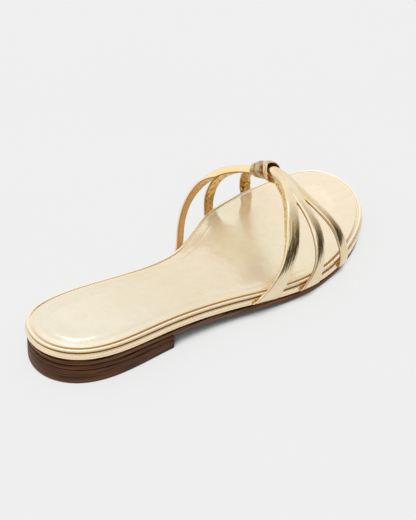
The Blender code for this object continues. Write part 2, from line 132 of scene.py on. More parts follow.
# ---- finish of the meshes -----------------------------------------------------------
OUTLINE_POINTS = 4000   # dense points that the outline is read from
CHORD_POWER = 0.75      # of the distances between its points: 1 as they are, 0 all alike
STATIONS = 120          # points along each side of the outline
HEEL_STATIONS = 48
BREAST_STEPS = 24
CORNER_STEPS = 5        # points on a rounded corner of a profile
SIDE_SHARE = 0.48       # share of a side that a rounded corner may take
CLOSING = (0.3, 0.6, 1.0)       # rows from a profile's ends to the spine, as shares
STRAP_ROWS = 64         # rows up each side of the bands
CROWN_STEPS = 11        # points across a band between its folds
LINING_STEPS = 7
FOLD_SHARES = np.array([0.0, 0.04, 0.15, 0.35, 0.65, 1.0])      # points across a fold
OUTER_POINTS = 2 * len(FOLD_SHARES) + CROWN_STEPS - 2
KNOT_SIDES = 72
GRAIN_APART = 40.0      # mm from one band's or turn's stretch of the grain to the next one's


def linear(hex_colour):
    """An sRGB hex colour as the linear values that a shader takes."""
    values = [int(hex_colour[k:k + 2], 16) / 255 for k in (1, 3, 5)]
    return tuple(c / 12.92 if c <= 0.04045 else ((c + 0.055) / 1.055) ** 2.4 for c in values)


# ---- what a user would change -------------------------------------------------------
def length(name, description, mm):
    return bpy.props.FloatProperty(name=name, description=description, default=mm * MM,
                                   unit="LENGTH", subtype="DISTANCE", precision=5)


def colour(name, description, hex_colour):
    return bpy.props.FloatVectorProperty(name=name, description=description, subtype="COLOR",
                                         size=3, min=0, max=1, default=linear(hex_colour))


class SandalSizes(bpy.types.PropertyGroup):
    """Small sizes of the finish."""
    bead: length("Bead radius", "Radius of the rolled bead round the footbed", 0.85)
    emboss: length("Emboss depth", "Depth of the two pressed lines inside the footbed's edge", 0.10)
    pillow: length("Heel pillow", "How far the pad rises inside the pressed lines", 0.30)
    fold: length("Strap fold", "Radius of the folded edge of a strap band", 0.9)
    crown: length("Strap crown", "Height of a band's middle over its own middle surface", 1.2)
    crease: length("Crease depth", "Depth of the creases where bands close up", 0.07)
    pleat: length("Pleat depth", "Depth of the gathers in the knot", 0.2)


class SandalColours(bpy.types.PropertyGroup):
    """Colours of the leathers and of the sole."""
    strap: colour("Strap foil", "Foil on the straps and the knot", "#F3E3C4")
    strap_warm: colour("Strap foil, warm", "Foil where it is rubbed thin", "#E6CD9C")
    # warmer foil on the rear band's deep fold: a painted reflection
    strap_painted_reflection: colour("Strap foil, turned", "Foil on the deep rear fold", "#FFE2AE")
    knot: colour("Knot foil", "Foil on the knot's turns", "#E8D6B4")
    knot_warm: colour("Knot foil, warm", "Foil rubbed thin on the turns", "#C9964E")
    # painted dark reflection: grey foil on the flanks of the knot's turns
    knot_painted_reflection: colour("Knot foil, creased", "Foil pressed dull in the knot's folds", "#8E8A84")
    knot_inside: colour("Knot, inside", "Lining that shows between and inside the turns", "#CE9448")
    knot_dark: colour("Knot, inside, dark", "Hollows of that lining", "#77501F")
    footbed: colour("Footbed foil, heel", "Foil on the heel of the footbed", "#F3EAD6")
    footbed_mid: colour("Footbed foil", "Foil in front of the heel", "#EEE1C5")
    footbed_arch: colour("Footbed foil, arch", "Foil on the footbed's waist", "#F6E9CF")
    # lightened under the ball: painted light against the shade of the straps
    footbed_ball_painted_light: colour("Footbed foil, ball", "Foil under the ball of the foot", "#FFF6DA")
    footbed_toe: colour("Footbed foil, toe", "Foil under the toes", "#FBECD2")
    # gold painted as shade in the two pressed lines
    pressed: colour("Pressed lines", "Foil in the two lines inside the footbed's edge", "#FFD67C")
    rim: colour("Rim foil", "Foil strip round the board", "#FFE9C5")
    bead_foil: colour("Bead foil", "Foil on the rolled bead", "#FFF2D8")
    lining: colour("Lining", "Crackled lining of the rear and middle bands", "#FFE088")
    lining_dark: colour("Lining, dark", "Hollows of that crackle", "#D0963E")
    front_lining: colour("Front lining", "Crackled lining of the front band", "#FFD67C")
    front_dark: colour("Front lining, dark", "Hollows of that crackle", "#8E672C")
    # the glazed lining goes from the gold below to this pale one high up: painted light
    glazed: colour("Glazed lining", "Upper part of the smooth lining", "#FFF4DC")
    glazed_gold: colour("Glazed lining, gold", "Lower part of the smooth lining", "#EABA6A")
    edge: colour("Edge ink", "Ink on the cut edges of the straps", "#B4763A")
    # groove and seam ink: ink with painted shade, in the groove, under the bead and along the board
    groove: colour("Groove ink", "Ink in the groove round the footbed", "#C8984E")
    seam: colour("Seam ink", "Ink under the bead and along the board", "#C0A270")
    sole: colour("Sole", "Moulded heel and lift", "#724629")
    sole_edge: colour("Outsole", "Moulded outsole", "#8C5C38")
    sole_dark: colour("Sole, dark", "Darker streaks in the sole and heel", "#382414")
    floor: colour("Floor", "Light of the sheet that the shoe stands on", "#FFFFFF")


# ---- curves -------------------------------------------------------------------------
def natural_curve(xs, ys):
    """The natural cubic through the points, as a function that holds its end values."""
    xs, ys = np.asarray(xs, float), np.asarray(ys, float)
    count, step = len(xs), np.diff(xs)
    matrix, right = np.eye(count), np.zeros((count, *ys.shape[1:]))
    for i in range(1, count - 1):
        matrix[i, i - 1:i + 2] = step[i - 1], 2 * (step[i - 1] + step[i]), step[i]
        right[i] = 6 * ((ys[i + 1] - ys[i]) / step[i] - (ys[i] - ys[i - 1]) / step[i - 1])
    bend = np.linalg.solve(matrix, right.reshape(count, -1)).reshape(right.shape)

    def at(x):
        x = np.clip(np.asarray(x, float), xs[0], xs[-1])
        i = np.clip(np.searchsorted(xs, x) - 1, 0, count - 2)
        t = (x - xs[i]) / step[i]
        wide = (slice(None),) * np.ndim(x) + (None,) * (ys.ndim - 1)
        t, h = t[wide], step[i][wide]
        u = 1 - t
        return (u * ys[i] + t * ys[i + 1]
                + h ** 2 / 6 * ((u ** 3 - u) * bend[i] + (t ** 3 - t) * bend[i + 1]))
    return at


def smooth_step(x, start, end):
    t = np.clip((np.asarray(x, float) - start) / (end - start), 0, 1)
    return t * t * (3 - 2 * t)


def plateau(x, start, full, even, gone):
    """0 up to start, 1 from full to even, and 0 again from gone."""
    return smooth_step(x, start, full) * (1 - smooth_step(x, even, gone))


def squarish(part, power):
    """A cosine or sine of an oval, drawn out towards a square by a power under 1."""
    return np.sign(part) * np.abs(part) ** power


def run_along(points, power=1.0):
    """Length along the points up to each of them, with every step raised to the power."""
    steps = np.linalg.norm(np.diff(points, axis=0), axis=1) ** power
    return np.concatenate([[0], np.cumsum(steps)])


def closed_outline(points):
    """Dense points of the smooth closed curve through the outline's points."""
    ring = np.array(points * 3 + points[:1], float)
    s = run_along(ring, CHORD_POWER)
    n = len(points)
    return natural_curve(s, ring)(np.linspace(s[n], s[2 * n], OUTLINE_POINTS, endpoint=False))


DENSE = closed_outline(OUTLINE)
HEEL_TIP, TOE_TIP = DENSE[:, 0].argmin(), DENSE[:, 0].argmax()
X_BACK, X_FRONT = DENSE[HEEL_TIP, 0], DENSE[TOE_TIP, 0]
# Shoe millimetres to the frame: the board's box starts at the outline's lowest x and y.
BOARD_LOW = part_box("midsole")[0]
SHIFT = np.array([X_BACK - BOARD_LOW.x / MM, DENSE[:, 1].min() - BOARD_LOW.y / MM, 0.0])


def half_outline(medial):
    """One side of the outline, ordered from the heel tip to the toe tip."""
    turned = np.roll(DENSE, -HEEL_TIP, axis=0)
    toe = turned[:, 0].argmax()
    side = turned[:toe + 1] if medial else np.vstack([turned[:1], turned[toe:][::-1]])
    return side[np.argsort(side[:, 0])]


HALVES = {"medial": half_outline(True), "lateral": half_outline(False)}
rim_z = natural_curve(*zip(*RIM_LINE))


def rim_y(x, side):
    return np.interp(x, HALVES[side][:, 0], HALVES[side][:, 1])


def mid_y(x):
    return (rim_y(x, "medial") + rim_y(x, "lateral")) / 2


# Heights of the sole's layers at x, from the top down.
def board_top(x):
    return rim_z(x) + BOARD_T


def sole_top(x):
    return rim_z(x) - GAP


def sole_under(x):
    return np.maximum(0.0, sole_top(x) - np.interp(x, SOLE_T_RUN, (SOLE_T_BACK, SOLE_T_BALL)))


def lift_top(x):
    return sole_under(x) - GAP


def lift_under(x):
    return lift_top(x) - LIFT_T


def block_top(x):
    return lift_under(x) - GAP


# ---- meshes -------------------------------------------------------------------------
def put_mesh(name, made, verts, faces, kinds, grain=None):
    """A smooth mesh object from shoe millimetres, with its materials and each face's number
    among them. grain gives each point its place in mm along and across the leather, for the
    patterns that follow a strap."""
    mesh = bpy.data.meshes.new(name)
    spots = (np.asarray(verts, float) - SHIFT) * MM
    mesh.from_pydata(spots.tolist(), [], faces)
    for material in made:
        mesh.materials.append(material)
    mesh.polygons.foreach_set("material_index", kinds)
    if grain is not None:
        layer = mesh.attributes.new("leather_run", "FLOAT_VECTOR", "POINT")
        layer.data.foreach_set("vector", np.asarray(grain, np.float32).ravel())
    mesh.validate()
    mesh.shade_smooth()
    obj = bpy.data.objects.new(name, mesh)
    bpy.context.scene.collection.objects.link(obj)
    return obj


def ring_faces(rows, count, first=0, closed=False):
    """Quads between neighbouring rows of points, each row a closed ring of count points."""
    faces = []
    for row in range(rows if closed else rows - 1):
        low, high = first + row * count, first + (row + 1) % rows * count
        for j in range(count):
            k = (j + 1) % count
            faces.append((low + j, low + k, high + k, high + j))
    return faces


def rounded(corners, setback):
    """A profile with its corners turned into short curves, each from the setback before its
    corner, or from SIDE_SHARE of a side that is too short for that."""
    corners = np.array(corners, float)
    out = [corners[0]]
    for before, corner, after in zip(corners, corners[1:], corners[2:]):
        a, b = before - corner, after - corner
        la, lb = np.linalg.norm(a), np.linalg.norm(b)
        cut = min(setback, SIDE_SHARE * la, SIDE_SHARE * lb)
        start, end = corner + a / la * cut, corner + b / lb * cut
        for t in np.linspace(0, 1, CORNER_STEPS):
            out.append((1 - t) ** 2 * start + 2 * t * (1 - t) * corner + t * t * end)
    return np.array(out + [corners[-1]])


def inward(points):
    """Unit normals of a closed line of points, pointing in."""
    along = np.roll(points, -1, axis=0) - np.roll(points, 1, axis=0)
    along /= np.linalg.norm(along, axis=1)[:, None]
    return np.stack([along[:, 1], -along[:, 0]], axis=1)


def with_spine(points, normals, reach):
    """A ring: its points, inward normals and the spine point that each one closes on."""
    centre_x = np.clip(points[:, 0], *reach)
    return points, normals, np.stack([centre_x, mid_y(centre_x)], axis=1)


def full_ring():
    """The whole outline, closer together at its tips."""
    turn = np.linspace(0, np.pi, STATIONS + 1)
    x = X_BACK + (X_FRONT - X_BACK) * (1 - np.cos(turn)) / 2
    points = [(a, rim_y(a, "medial")) for a in x]
    points += [(a, rim_y(a, "lateral")) for a in x[-2:0:-1]]
    points = np.array(points)
    points[0], points[STATIONS] = DENSE[HEEL_TIP], DENSE[TOE_TIP]
    return with_spine(points, inward(points), SPINE)


def heel_ring():
    """The same for the heel: its rounded back, closed by a straight breast."""
    turn = np.linspace(0, np.pi / 2, HEEL_STATIONS + 1)
    x = X_BACK + (BREAST_X - X_BACK) * (1 - np.cos(turn))
    medial = [(a, rim_y(a, "medial")) for a in x]
    lateral = [(a, rim_y(a, "lateral")) for a in x[:0:-1]]
    medial[0] = tuple(DENSE[HEEL_TIP])
    y0, y1 = medial[-1][1], lateral[0][1]
    breast = [(BREAST_X, y0 + (y1 - y0) * k / BREAST_STEPS) for k in range(1, BREAST_STEPS)]
    points = np.array(medial + breast + lateral)
    normals = inward(points)
    first, last = len(medial) - 1, len(medial) + len(breast)
    normals[first + 1:last] = (-1, 0)
    normals[first], normals[last] = (-1, -1), (-1, 1)
    return with_spine(points, normals, HEEL_SPINE)


def ring_row(ring, inset, share, height):
    """One row of points: the ring moved in by inset, then that share of the way to its
    spine, each point at the height for its x."""
    points, normals, spine = ring
    row = points + normals * inset
    row = row + (spine - row) * share
    return np.column_stack([row, height(row[:, 0])])


def sole_layer(name, made, ring, under, over, under_line, over_line, inked=()):
    """A layer of the sole. under and over are (inset, rise) profiles from the middle out to
    the edge and back, rise from their own height line; each starts or ends on the spine.
    The rows of faces in inked take the second material."""
    profile = [(inset, under_line, rise) for inset, rise in under]
    profile += [(inset, over_line, rise) for inset, rise in over]
    steps = [(share, profile[0]) for share in reversed(CLOSING)]
    steps += [(0.0, point) for point in profile]
    steps += [(share, profile[-1]) for share in CLOSING]
    rows = [ring_row(ring, inset, share, lambda x: line(x) + rise)
            for share, (inset, line, rise) in steps]
    count = len(ring[0])
    kinds = [int(k in inked) for k in range(len(rows) - 1) for _ in range(count)]
    return put_mesh(name, made, np.vstack(rows), ring_faces(len(rows), count), kinds)


# ---- the footbed --------------------------------------------------------------------
INSET = 0.9             # the footbed stands in from the board's edge
UNDER_IN = 1.2          # its flat underside ends this far in, where the bead curls up
BEAD_SQUARE = 0.65      # 1 for a round bead, less for one with a flat top and sides
BEAD_ARC, BEAD_STEPS = (250, 20), 17    # degrees: 180 is its outer side and 90 its top
BEAD_LIFT = 0.97        # height of its middle, as a share of its radius
GROOVE = ((2.0, 0.95), (2.3, 0.85))     # inset and rise of the groove behind it
PAD_IN, PAD_SHOULDER = 2.55, 1.3        # where the pad starts and how far its edge rounds
PAD_LOW, PAD_RISE = 0.85, 0.95          # rise of its foot, and of its edge over that
PAD_CROWN, CROWN_RUN = 0.55, (2.5, 13.0)        # slow crown, and the insets it rises over
PRESSED = ((4.0, 0.40), (7.8, 0.50))    # inset and half width of the two pressed lines,
PRESSED_END = (150, 205)                # which fade out between these x
PILLOW_RUN, PILLOW_END = (7.0, 11.0), (60, 120) # insets and x over which the pillow rises
FLAT_IN = 14.0          # the face is flat from here in, but for a hollow in its middle,
HOLLOW, HEEL_HOLLOW = 0.20, 0.28        # this deep, and this much deeper in the heel
MIDDLE_IN = 40          # inset that the grain counts from there to the middle
# the second material is ink with painted shade, in the groove and under the bead
PAD_FOIL, GROOVE_INK_AND_SHADE, BEAD_FOIL = range(3)


def footbed_mesh(sizes):
    """Points, faces, material numbers and leather run of the footbed: its flat underside,
    the rolled bead, the groove behind the bead and the padded face."""
    bead, emboss, pillow = sizes.bead / MM, sizes.emboss / MM, sizes.pillow / MM
    ring = full_ring()
    pressed = 1 - smooth_step(ring[0][:, 0], *PRESSED_END)
    cupped = 1 - smooth_step(ring[0][:, 0], *PILLOW_END)
    rows, runs, finishes = [], [], []

    def add(inset, rise, finish=PAD_FOIL, share=0.0):
        rows.append(ring_row(ring, inset, share, lambda x: board_top(x) + GAP + rise))
        runs.append(inset + MIDDLE_IN * share)
        finishes.append(finish)

    def pad(inset, share=0.0):
        """Rise of the padded face: a quick shoulder, a slow crown, two pressed lines and a
        soft pillow inside them at the heel."""
        up = min((inset - PAD_IN) / PAD_SHOULDER, 1.0)
        shoulder = PAD_LOW + PAD_RISE * math.sqrt(1 - (1 - up) ** 2)
        crown = PAD_CROWN * smooth_step(inset, *CROWN_RUN)
        lines = sum(np.exp(-((inset - at) / wide) ** 2) for at, wide in PRESSED)
        swell = pillow * cupped * smooth_step(inset, *PILLOW_RUN)
        sink = (HOLLOW + HEEL_HOLLOW * cupped) * share * (2 - share)
        return shoulder + crown - emboss * lines * pressed + swell - sink

    add(FLAT_IN, 0.0, share=1.0)
    add(FLAT_IN, 0.0)
    add(INSET + UNDER_IN, 0.0, GROOVE_INK_AND_SHADE)
    for angle in np.radians(np.linspace(*BEAD_ARC, BEAD_STEPS)):
        side, top = squarish(np.cos(angle), BEAD_SQUARE), squarish(np.sin(angle), BEAD_SQUARE)
        add(INSET + bead + bead * side, bead * BEAD_LIFT + bead * top,
            GROOVE_INK_AND_SHADE if angle > np.pi else BEAD_FOIL)
    for (inset, rise), finish in zip(GROOVE, (BEAD_FOIL, GROOVE_INK_AND_SHADE)):
        add(INSET + inset, rise, finish)
    for inset in (PAD_IN, 2.6, 2.7, 2.85):
        add(INSET + inset, pad(inset), GROOVE_INK_AND_SHADE)
    for inset in (3.05, 3.3, *np.linspace(3.6, 9.0, 29), *np.linspace(9.4, FLAT_IN, 10)):
        add(INSET + inset, pad(inset))
    for share in np.linspace(0.06, 1.0, 16):
        add(INSET + FLAT_IN, pad(FLAT_IN, share), share=share)
    count, verts = len(ring[0]), np.vstack(rows)
    grain = np.column_stack([verts[:, 0], np.repeat(runs, count), 0 * verts[:, 0]])
    return verts, ring_faces(len(rows), count), np.repeat(finishes[:-1], count), grain


# ---- the last and the bands ---------------------------------------------------------
# The turn of a band round the board's edge: out from the rim, up from its lower edge and
# the outward normal's angle, 0 level and 90 straight down. It ends 8 mm in under the board.
WRAP = ((-8.0, 0.45, 90), (-3.0, 0.45, 90), (-0.7, 0.45, 80), (0.25, 0.65, 45),
        (0.85, 1.25, 12))
WRAP_THIN, WRAP_HALF = 0.6, 0.42    # it is pressed thin there, to this much either way
# phi of the rows up a side, closer together by the rim.
CLIMB = 0.05 + 0.95 * np.linspace(0, 1, STRAP_ROWS) ** 1.15
# A band's folded edge over its middle surface: where the fold starts and where it ends,
# and the lining's face under it.
FOLD_FOOT, FOLD_TOP, LINING_FACE = -0.10, 0.80, -0.80
FOLD_LIMIT = 0.3                    # share of a band's width that a fold may take
CROWN_POWER = 2.4                   # 2 for a round crown, more for a flatter one
CREASE_WIDTH = 1.1
LINING_IN = 0.12                    # the lining stands in from a free edge
CUT_IN, CUT_UP = 0.03, 0.15         # foot of the cut edge: in from the side, up from the face
# Small shapes of the bands, and the phi between which they set in and go again.
RIPPLE, RIPPLE_REACH = 0.05, (0.45, 0.95)               # fine ripples near the knot
DROOP, DROOP_REACH = 2.4, (0.36, 0.66, 0.86, 0.97)      # the lining hangs out of the fold
CHEEK, CHEEK_REACH = 2.7, (0.40, 0.54, 0.86, 0.96)      # the foil turns deeper round it
BUNCH, BUNCH_REACH = 2.4, (0.74, 0.93)                  # extra height on the way to the knot,
BUNCH_POWER = 0.75                                      # 1 for a sine across the bundle
SQUEEZE, SQUEEZE_REACH = 0.95, (8.5, 10.5, 17.5, 19.0)  # share gone again at these y in it
# phi on the medial side from which the middle and front bands' lining is glazed, as the
# rear one's is all the way, and from which the rear band's fold takes a warmer foil, a painted
# reflection.
GLAZED_FROM, REFLECTION_PAINTED_FROM = 0.56, 0.40
FOIL, LINING, INK, GLAZED, FRONT_LINING, REFLECTION_PAINTED_FOIL = range(6)


def on_last(x, phi, side):
    """Points of the bands' middle surface; x and phi may be arrays."""
    sign, full, swell = LAST[side]
    turn = phi * np.pi / 2
    run = np.clip(x - CREST_X, -CREST_REACH, CREST_REACH)
    top_y, top_z = CREST_Y + CREST_DY * run, CREST_Z + CREST_DZ * run
    top_z = top_z - LEAN[side] * (1 - smooth_step(phi, *LEAN_END)) * (x - LEAN_X)
    base_y, base_z = rim_y(x, side) + sign * LAST_OUT, rim_z(x) + LAST_UP
    bulge = swell * np.sin(2 * turn) * (1 - np.exp(-(phi / SWELL_FROM) ** 2))
    y = top_y + (base_y - top_y) * np.maximum(np.cos(turn), 0.0) ** (2 / full) + sign * bulge
    z = base_z + (top_z - base_z) * np.sin(turn) ** LAST_RISE
    return np.stack(np.broadcast_arrays(x, y, z), axis=-1)


def outward(x, phi, side):
    """Unit normals of the last, pointing away from the foot."""
    up = on_last(x, min(phi + 0.01, 1.0), side) - on_last(x, phi - 0.01, side)
    fore = on_last(x + 0.5, phi, side) - on_last(x - 0.5, phi, side)
    n = np.cross(fore, up) * (1 if side == "lateral" else -1)
    return n / np.linalg.norm(n, axis=-1, keepdims=True)


EDGE_CURVES = {side: natural_curve(np.array(rows)[:, 0], np.array(rows)[:, 1:])
               for side, rows in EDGES.items()}


def band_edges(phi, side):
    """x of the six edges at phi, and how far the sides of the bands have closed, from 0 to
    1: the rear one's rear side, the two slits, the front one's front side."""
    x = EDGE_CURVES[side](np.array([phi]))[0].copy()
    shut = [0.0, 0.0, 0.0, 0.0]
    for slit, join in enumerate(JOIN[side]):
        rear, front = 2 * slit + 1, 2 * slit + 2
        shut[slit + 1] = float(smooth_step(phi, join, join + JOIN_RUN))
        if phi >= join:
            x[rear] = x[front] = (x[rear] + x[front]) / 2
    return x, shut


def band_profile(width, rear_shut, front_shut, sizes, ripple=0.0, phase=0.0, droop=0.0,
                 cheek=0.0):
    """One band's cross-section as (across in mm, height) of the outer face, rear to front,
    then of the lining, front to rear. A shut side meets its neighbour in a crease. ripple
    is the depth of the ripples and phase their shift, droop lowers the lining's rear edge,
    and cheek the foil's rear edge with it."""
    fold, crown, crease = sizes.fold / MM, sizes.crown / MM, sizes.crease / MM
    fold = min(fold, FOLD_LIMIT * width)
    edge = FOLD_SHARES * fold
    middle = np.linspace(fold, width - fold, CROWN_STEPS)[1:-1]
    t = np.concatenate([edge, middle, width - edge[::-1]])
    share = t / width
    near = np.minimum(t, width - t)
    roll = np.sqrt(np.clip(1 - (1 - np.minimum(near, fold) / fold) ** 2, 0, 1))
    body = 1 - np.abs(2 * share - 1) ** CROWN_POWER
    free = FOLD_FOOT + (FOLD_TOP - FOLD_FOOT) * roll + (crown - FOLD_TOP) * body * roll
    free = free - np.where(share < 0.5, cheek * (1 - roll) ** 2, 0.0)
    valley = crown - crease * np.exp(-(near / CREASE_WIDTH) ** 2)
    shut = np.where(share < 0.5, rear_shut, front_shut)
    waves = ripple * (1 + np.cos(2 * np.pi * (2.0 * share + phase))) / 2
    height = free * (1 - shut) + valley * shut - waves
    # the lining, and the cut edges that drop from the folds to its face
    rear, front = LINING_IN * (1 - rear_shut), LINING_IN * (1 - front_shut)
    lining = np.full(LINING_STEPS, LINING_FACE)
    lining[-1] -= droop + cheek
    cut = LINING_FACE + CUT_UP
    across = np.concatenate([t, [width - CUT_IN], np.linspace(width - front, rear, LINING_STEPS),
                             [CUT_IN]])
    return across, np.concatenate([height, [cut], lining, [cut - (droop + cheek)]])


def band_row(band, phi, side, sizes):
    """Points of one band's cross-section at phi, and their places across the band."""
    x, shut = band_edges(phi, side)
    rear, front = x[2 * band:2 * band + 2]
    droop = DROOP * plateau(phi, *DROOP_REACH) if band == 0 and side == "lateral" else 0.0
    cheek = CHEEK * plateau(phi, *CHEEK_REACH) if band == 0 and side == "medial" else 0.0
    across, heights = band_profile(front - rear, *shut[band:band + 2], sizes,
                                   RIPPLE * smooth_step(phi, *RIPPLE_REACH), 0.35 * band,
                                   droop, cheek)
    spots = rear + across
    middle = on_last(spots, phi, side)
    # the bands bunch up into a round bundle on the way into the knot, and are squeezed flat
    # again inside it
    share = np.clip((spots - x[0]) / (x[5] - x[0]), 0, 1)
    bunch = BUNCH * smooth_step(phi, *BUNCH_REACH) * np.sin(np.pi * share) ** BUNCH_POWER
    bunch = bunch * (1 - SQUEEZE * plateau(middle[:, 1], *SQUEEZE_REACH))
    heights[:OUTER_POINTS] += bunch[:OUTER_POINTS]
    return middle + outward(spots, phi, side) * heights[:, None], across


def wrap_row(band, out, up, tilt, side, sizes):
    """The same where the band turns round the board's edge, for one row of WRAP."""
    x, _ = band_edges(0.0, side)
    rear, front = x[2 * band:2 * band + 2]
    across, heights = band_profile(front - rear, 0.0, 0.0, sizes)
    spots = rear + across
    level, down = math.cos(math.radians(tilt)), math.sin(math.radians(tilt))
    flat = np.clip(heights * WRAP_THIN, -WRAP_HALF, WRAP_HALF)
    y = rim_y(spots, side) + LAST[side][0] * (out + flat * level)
    return np.column_stack([spots, y, rim_z(spots) + up - flat * down]), across


def band_mesh(band, sizes, first):
    """Points, faces, material numbers and leather run of one band, rim to rim, its points
    numbered from first."""
    lateral, medial = ([wrap_row(band, *turn, side, sizes) for turn in WRAP]
                       + [band_row(band, float(phi), side, sizes) for phi in CLIMB]
                       for side in ("lateral", "medial"))
    line = lateral + medial[-2::-1]
    rows, across = (np.array(part) for part in zip(*line))
    run = run_along(rows.mean(axis=1))
    # the tucked ends and the turn are eased by resampling along the run
    fine = np.concatenate([np.linspace(run[k], run[k + 1], 3, endpoint=False)
                           for k in range(len(run) - 1)] + [run[-1:]])
    rows, across = natural_curve(run, rows)(fine), natural_curve(run, across)(fine)
    # how far up the medial side each row is, 0 on the lateral one
    climbs = np.concatenate([np.zeros(len(lateral)), CLIMB[-2::-1], np.zeros(len(WRAP))])
    count, kinds = rows.shape[1], []
    for climb in np.interp(fine, run, climbs)[:-1]:
        kind = np.full(count, FOIL)
        kind[OUTER_POINTS - 1:OUTER_POINTS + 1] = INK
        glazed = climb > 0 and (band == 0 or climb > GLAZED_FROM)
        kind[OUTER_POINTS + 1:-2] = GLAZED if glazed else (LINING, LINING, FRONT_LINING)[band]
        # the rear band's lining hangs out on the lateral side, over its cut edge
        kind[-2:] = LINING if climb == 0 and band == 0 else INK
        # the rear band's fold up the medial side takes the foil with the painted reflection
        if band == 0 and climb > REFLECTION_PAINTED_FROM:
            kind[:3] = REFLECTION_PAINTED_FOIL
        kinds.extend(kind)
    end = first + len(rows) * count
    faces = ring_faces(len(rows), count, first)
    faces += [tuple(range(first, first + count)), tuple(reversed(range(end - count, end)))]
    grain = np.stack([np.repeat(fine[:, None], count, axis=1), across,
                      np.full_like(across, GRAIN_APART * band)], axis=-1)
    return rows.reshape(-1, 3), faces, kinds + [FOIL, FOIL], grain.reshape(-1, 3)


def strap_mesh(sizes):
    """All three bands as one mesh."""
    parts, first = [], 0
    for band in range(3):
        parts.append(band_mesh(band, sizes, first))
        first += len(parts[-1][0])
    verts, faces, kinds, grain = zip(*parts)
    return np.vstack(verts), sum(faces, []), sum(kinds, []), np.vstack(grain)


# ---- the knot -----------------------------------------------------------------------
KNOT_Y, CORE_RISE = 13.4, 0.15      # where it sits across the shoe, and up from the last
KNOT_SQUARE = 2.3                   # exponent of its outer oval
BUNDLE_FROM = {"lateral": 0.85, "medial": 0.82}     # phi where the bundle in it starts
BUNDLE_STEPS = 60
BUNDLE_NEAR = 1.5                   # half the length that its direction is taken over
# Three turns, each a closed profile swept round the bundle: along the bundle from its
# medial end, half width, half height, rise of the middle.
KNOT_TURNS = (
    ((6.1, 6.4, 2.6, -0.6), (6.4, 7.0, 3.3, -0.8), (6.2, 7.8, 4.1, -0.95),
     (5.6, 8.1, 4.5, -1.0), (4.9, 8.1, 4.5, -1.0), (4.2, 7.6, 4.0, -0.9),
     (3.6, 6.8, 3.3, -0.7), (3.3, 6.1, 2.6, -0.5), (4.4, 6.0, 2.3, -0.5)),
    ((2.8, 6.1, 2.6, -0.3), (3.1, 7.0, 3.7, -0.5), (2.7, 7.9, 4.8, -0.65),
     (1.8, 8.3, 5.25, -0.7), (0.8, 8.3, 5.25, -0.7), (-0.1, 7.7, 4.7, -0.65),
     (-0.9, 6.9, 3.8, -0.5), (-1.4, 6.2, 3.0, -0.3), (0.3, 5.9, 2.6, -0.3)),
    ((-1.8, 6.3, 2.9, -0.3), (-1.7, 7.1, 3.8, -0.4), (-2.1, 7.8, 4.4, -0.45),
     (-2.9, 8.1, 4.8, -0.45), (-3.9, 8.15, 5.0, -0.45), (-5.1, 8.1, 5.1, -0.4),
     (-6.1, 7.9, 5.05, -0.35), (-6.5, 7.6, 4.8, -0.35), (-6.2, 7.3, 4.45, -0.3),
     (-5.2, 7.0, 4.0, -0.3), (-4.2, 6.75, 3.6, -0.2), (-2.9, 6.4, 3.1, -0.2)),
)
# Shares of the way round each profile where a painted dark reflection greys the foil, on the flank
# that runs down into a fold, and where the lining shows: deep between the turns and, in the
# last turn, from the lip inwards.
TURN_PAINTED_REFLECTION = ((0.44, 0.56), (0.44, 0.57), (0.08, 0.14))
TURN_LINED = ((0.56, 1.0), (0.57, 1.08), (0.64, 1.08))
TURN_TILT = (0.3, 1.3, 4.0)   # mm that a turn's underside leans towards the lateral end
TURN_SKEW = (0.8, 2.0, 3.6)   # mm that a turn's front leans towards the medial end
LIP_SKEW = (0.0, 0.0, -0.7)   # and how much further the last turn's lip does
LIP_FROM, LIP_RUN = -1.7, 4.8
PLEAT_SPAN = 6.0              # usual half size of a turn, which its pleats are a share of
# The pleats as waves: depth, number round a turn, and radians that they shift from turn to
# turn and for each mm along the bundle.
PLEATS = ((1.0, 4, 1.3, 0.2), (0.6, 7, 0.0, -0.3))
TURN_GRAIN, ROW_GRAIN = 7, 0.6          # mm of leather to a radian round it and to a row
KNOT_GRAIN = 150.0            # mm from the first band's stretch of the grain to the first turn's
TURN_FOIL, TURN_LINING, TURN_REFLECTION_FOIL = range(3)


def bundle_path():
    """The bundle through the knot, lateral to medial: length from the knot's middle, the
    points of its middle line and its width line at each."""
    steps = [("lateral", p) for p in np.linspace(BUNDLE_FROM["lateral"], 1.0, BUNDLE_STEPS)]
    steps += [("medial", p) for p in np.linspace(1.0, BUNDLE_FROM["medial"], BUNDLE_STEPS)[1:]]
    points, across = [], []
    for side, phi in steps:
        x, _ = band_edges(phi, side)
        rear, front = on_last(x[0], phi, side), on_last(x[5], phi, side)
        points.append((rear + front) / 2)
        across.append(front - rear)
    points = np.array(points)
    s = run_along(points)
    return s - np.interp(KNOT_Y, points[:, 1], s), points, np.array(across)


